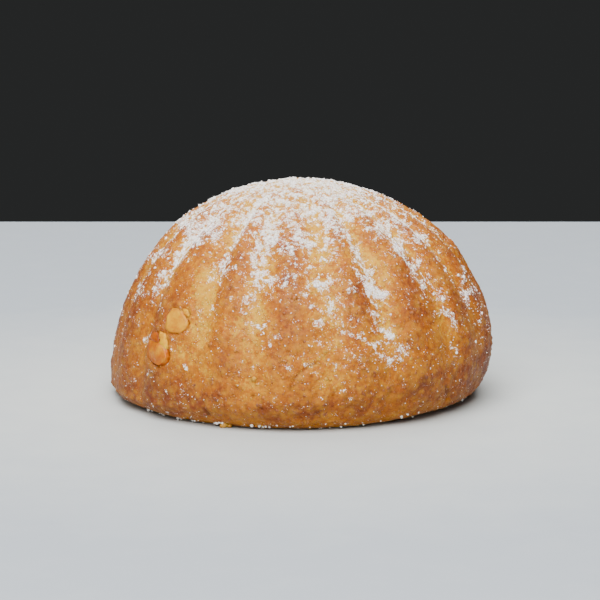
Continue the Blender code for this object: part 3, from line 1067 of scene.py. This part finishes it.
def build_powder(sizes, colours):
    """Icing sugar in three kinds: the cover on top, the dusting down the side, and clumps in both."""
    draw = np.random.default_rng(SEED + 1)
    material = sugar_material(colours)
    place, facing, sugar, _ = dough_samples(POWDER_TRIES, draw)
    lace = sugar - 0.75 * ripple(place, 0.00030)
    shown = smooth_step(0.0, 0.34, lace)
    chance = draw.random(len(place))
    # Stray specks: partly sugar and partly painted glints, more of them on faces that look to the front
    frontal = smooth_step(0.2, 0.8, -facing[:, 1])
    specks_and_glints = (0.03 + 0.035 * frontal) * smooth_step(0.15, 0.60, ripple(place, 0.0011))
    on_top = place[:, 2] > TOP_COVER_HEIGHT
    kinds = (
        ("sugar_cover", on_top & (chance < shown * 0.42 + specks_and_glints), 1.10),
        ("sugar_dusting", ~on_top & (chance < shown * 0.95 + specks_and_glints), 0.88),
    )
    for name, keep, scale in kinds:
        kept = np.flatnonzero(keep)[:MOST_FINE_GRAINS]
        width = sizes.powder * scale * draw.lognormal(0, 0.30, len(kept))
        width *= 0.62 + 0.38 * shown[kept]
        grains = scatter(name, "fine", place[kept], facing[kept], width, 0.7, 0.25, draw)
        show(grains, name, material)
    clumped = smooth_step(0.15, 0.60, lace) * 0.11 + smooth_step(0.0, 0.3, lace) * 0.010
    kept = np.flatnonzero(draw.random(len(place)) < clumped)[:MOST_COARSE_GRAINS]
    width = sizes.clump * draw.lognormal(0, 0.28, len(kept))
    clumps = scatter("sugar_clumps", "coarse", place[kept], facing[kept], width, 0.6, 0.3, draw)
    show(clumps, "sugar_clumps", material)


def build_meal(sizes, colours):
    """Coarse grains of flour and almond meal that stand out of the crust."""
    draw = np.random.default_rng(SEED + 4)
    place, facing, sugar, bake_and_shade = dough_samples(MEAL_TRIES, draw)
    low = 0.5 + 0.5 * smooth_step(0.020, 0.008, place[:, 2])
    kept = np.flatnonzero((sugar < 0.05) & (draw.random(len(place)) < low))[:MOST_COARSE_GRAINS]
    width = sizes.flour_grain * draw.lognormal(0, 0.35, len(kept))
    grains = scatter("baked_meal", "coarse", place[kept], facing[kept], width, 0.30, 0.72, draw)
    # Each grain takes the dough's browning and painted shade where it lies, with a tone of its own
    tones = bake_and_shade[kept] + draw.normal(-0.06, 0.11, len(kept))
    each = len(grains.vertices) // len(kept)
    store(grains, "bake_and_shade", np.repeat(np.clip(tones, 0, 1), each))
    show(grains, "baked_meal", grain_material(colours))


def build_crystals(sizes, colours):
    """Glassy sugar crystals, mostly low on the side."""
    draw = np.random.default_rng(SEED + 2)
    place, facing, sugar, _ = dough_samples(8000, draw)
    gathered = ripple(place, 0.0014) > draw.uniform(-0.05, 0.75, len(place))
    kept = np.flatnonzero((place[:, 2] < 0.021) & (sugar < 0.1) & gathered)[:CRYSTALS]
    width = sizes.crystal * draw.uniform(0.16, 0.36, len(kept))
    crystals = scatter("sugar_crystals", "crystal", place[kept], facing[kept], width, 0.9, 0.35, draw)
    show(crystals, "sugar_crystals", crystal_material()).data.shade_flat()


def build_crumbs(sizes, colours):
    """Crumbs and sugar that cling round the foot."""
    draw = np.random.default_rng(SEED + 3)
    for name, slot, material, known, others in (
        ("crumbs", "dough", grain_material(colours), FOOT_CRUMBS, MORE_CRUMBS),
        ("foot_sugar", "icing_sugar", sugar_material(colours), FOOT_SUGAR, MORE_FOOT_SUGAR),
    ):
        turns = np.concatenate(([row[0] for row in known], draw.uniform(-180, 180, others)))
        shares = np.concatenate(([row[1] for row in known], draw.uniform(1.60, 1.92, others)))
        widths = np.concatenate(([row[2] for row in known], sizes.crumb * draw.uniform(0.2, 0.55, others)))
        place, facing = shaped(turns, shares)
        facing[:, 2] -= 0.2
        facing /= np.linalg.norm(facing, axis=1)[:, None]
        grains = scatter(name, "crumb", place, facing, widths, 0.8, 0.25, draw, 0.32)
        if slot == "dough":
            each = len(grains.vertices) // len(turns)
            store(grains, "bake_and_shade", np.repeat(draw.uniform(0.0, 0.35, len(turns)), each))
        show(grains, name, material)


def build_stage(colours):
    """The pale paper, the dark backdrop, the soft lights and the camera."""
    slab = bmesh.new()
    bmesh.ops.create_cube(slab, size=1)
    bmesh.ops.scale(slab, vec=(3.0, 1.9, 0.02), verts=slab.verts)
    bmesh.ops.translate(slab, vec=(0, 0.158 - 0.95, -0.01), verts=slab.verts)
    mesh = bpy.data.meshes.new("paper")
    slab.to_mesh(mesh)
    slab.free()
    mesh.materials.append(paper_material(colours))
    paper = bpy.data.objects.new("paper", mesh)
    bpy.context.scene.collection.objects.link(paper)

    world = bpy.data.worlds.new("backdrop")
    world.use_nodes = True
    world.node_tree.nodes["Background"].inputs["Color"].default_value = colours.backdrop
    bpy.context.scene.world = world

    soft_light("window", (-0.06, -0.36, 0.55), 0.60, 11.8, (1.0, 0.99, 0.975))
    soft_light("room", (-0.12, -0.60, 0.12), 0.50, 2.1, (1.0, 0.985, 0.965))
    soft_light("ceiling", (0.0, 0.34, 0.52), 0.60, 3.8, (1.0, 0.99, 0.98))

    lens = bpy.data.cameras.new("camera")
    lens.sensor_width = SENSOR / MM
    lens.lens = SENSOR / MM * PIXELS_PER_METRE * CAMERA_DISTANCE / PICTURE
    camera = bpy.data.objects.new("camera", lens)
    back = Vector(camera_axes()[2])
    camera.location = Vector(CAMERA_AIM) + back * CAMERA_DISTANCE
    camera.rotation_euler = back.to_track_quat("Z", "Y").to_euler()
    lens.clip_start = 0.01
    lens.clip_end = 10
    bpy.context.scene.collection.objects.link(camera)
    bpy.context.scene.camera = camera


def soft_light(name, place, size, power, colour):
    """A large square light that faces the biscuit and isn't seen itself."""
    lamp = bpy.data.lights.new(name, "AREA")
    lamp.shape = "SQUARE"
    lamp.size = size
    lamp.energy = power
    lamp.color = colour
    light = bpy.data.objects.new(name, lamp)
    light.location = place
    light.rotation_euler = Vector(place).to_track_quat("Z", "Y").to_euler()
    light.visible_camera = False
    bpy.context.scene.collection.objects.link(light)


class MAAMOUL_OT_stage(bpy.types.Operator):
    """Sets up the paper, the backdrop, the lights and the camera"""

    bl_idname = "maamoul.stage"
    bl_label = "Stage"

    def execute(self, context):
        build_stage(context.scene.maamoul_colours)
        return {"FINISHED"}


class MAAMOUL_OT_dough(bpy.types.Operator):
    """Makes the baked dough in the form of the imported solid"""

    bl_idname = "maamoul.dough"
    bl_label = "Baked dough"

    def execute(self, context):
        build_dough(context.scene.maamoul_sizes, context.scene.maamoul_colours)
        return {"FINISHED"}


class MAAMOUL_OT_almonds(bpy.types.Operator):
    """Makes the chopped almond pieces"""

    bl_idname = "maamoul.almonds"
    bl_label = "Almond pieces"

    def execute(self, context):
        build_almonds(context.scene.maamoul_colours)
        return {"FINISHED"}


class MAAMOUL_OT_powder(bpy.types.Operator):
    """Dusts the biscuit with icing sugar"""

    bl_idname = "maamoul.powder"
    bl_label = "Icing sugar"

    def execute(self, context):
        build_powder(context.scene.maamoul_sizes, context.scene.maamoul_colours)
        return {"FINISHED"}


class MAAMOUL_OT_meal(bpy.types.Operator):
    """Adds the coarse grains that stand out of the crust"""

    bl_idname = "maamoul.meal"
    bl_label = "Baked meal"

    def execute(self, context):
        build_meal(context.scene.maamoul_sizes, context.scene.maamoul_colours)
        return {"FINISHED"}


class MAAMOUL_OT_crystals(bpy.types.Operator):
    """Adds the glassy sugar crystals"""

    bl_idname = "maamoul.crystals"
    bl_label = "Sugar crystals"

    def execute(self, context):
        build_crystals(context.scene.maamoul_sizes, context.scene.maamoul_colours)
        return {"FINISHED"}


class MAAMOUL_OT_crumbs(bpy.types.Operator):
    """Adds the crumbs and the bits of sugar round the foot"""

    bl_idname = "maamoul.crumbs"
    bl_label = "Crumbs"

    def execute(self, context):
        build_crumbs(context.scene.maamoul_sizes, context.scene.maamoul_colours)
        return {"FINISHED"}


STEPS_IN_ORDER = ("stage", "dough", "almonds", "meal", "powder", "crystals", "crumbs")


class MAAMOUL_PT_panel(bpy.types.Panel):
    """Lists the sizes, the colours and the steps in order"""

    bl_idname = "MAAMOUL_PT_panel"
    bl_label = "Almond maamoul"
    bl_space_type = "VIEW_3D"
    bl_region_type = "UI"
    bl_category = "Maamoul"

    def draw(self, context):
        for group in (context.scene.maamoul_sizes, context.scene.maamoul_colours):
            box = self.layout.box()
            for name in group.__annotations__:
                box.prop(group, name)
        for step in STEPS_IN_ORDER:
            self.layout.operator(f"maamoul.{step}")


CLASSES = (
    MaamoulSizes,
    MaamoulColours,
    MAAMOUL_OT_stage,
    MAAMOUL_OT_dough,
    MAAMOUL_OT_almonds,
    MAAMOUL_OT_meal,
    MAAMOUL_OT_powder,
    MAAMOUL_OT_crystals,
    MAAMOUL_OT_crumbs,
    MAAMOUL_PT_panel,
)


def register():
    """Makes the classes and their settings known to Blender."""
    for cls in CLASSES:
        bpy.utils.register_class(cls)
    bpy.types.Scene.maamoul_sizes = PointerProperty(type=MaamoulSizes)
    bpy.types.Scene.maamoul_colours = PointerProperty(type=MaamoulColours)


def unregister():
    """Takes them away again."""
    del bpy.types.Scene.maamoul_colours
    del bpy.types.Scene.maamoul_sizes
    for cls in reversed(CLASSES):
        bpy.utils.unregister_class(cls)


def main():
    """Registers the add-on and makes everything in order."""
    register()
    for step in STEPS_IN_ORDER:
        getattr(bpy.ops.maamoul, step)()


if __name__ == "__main__":
    main()
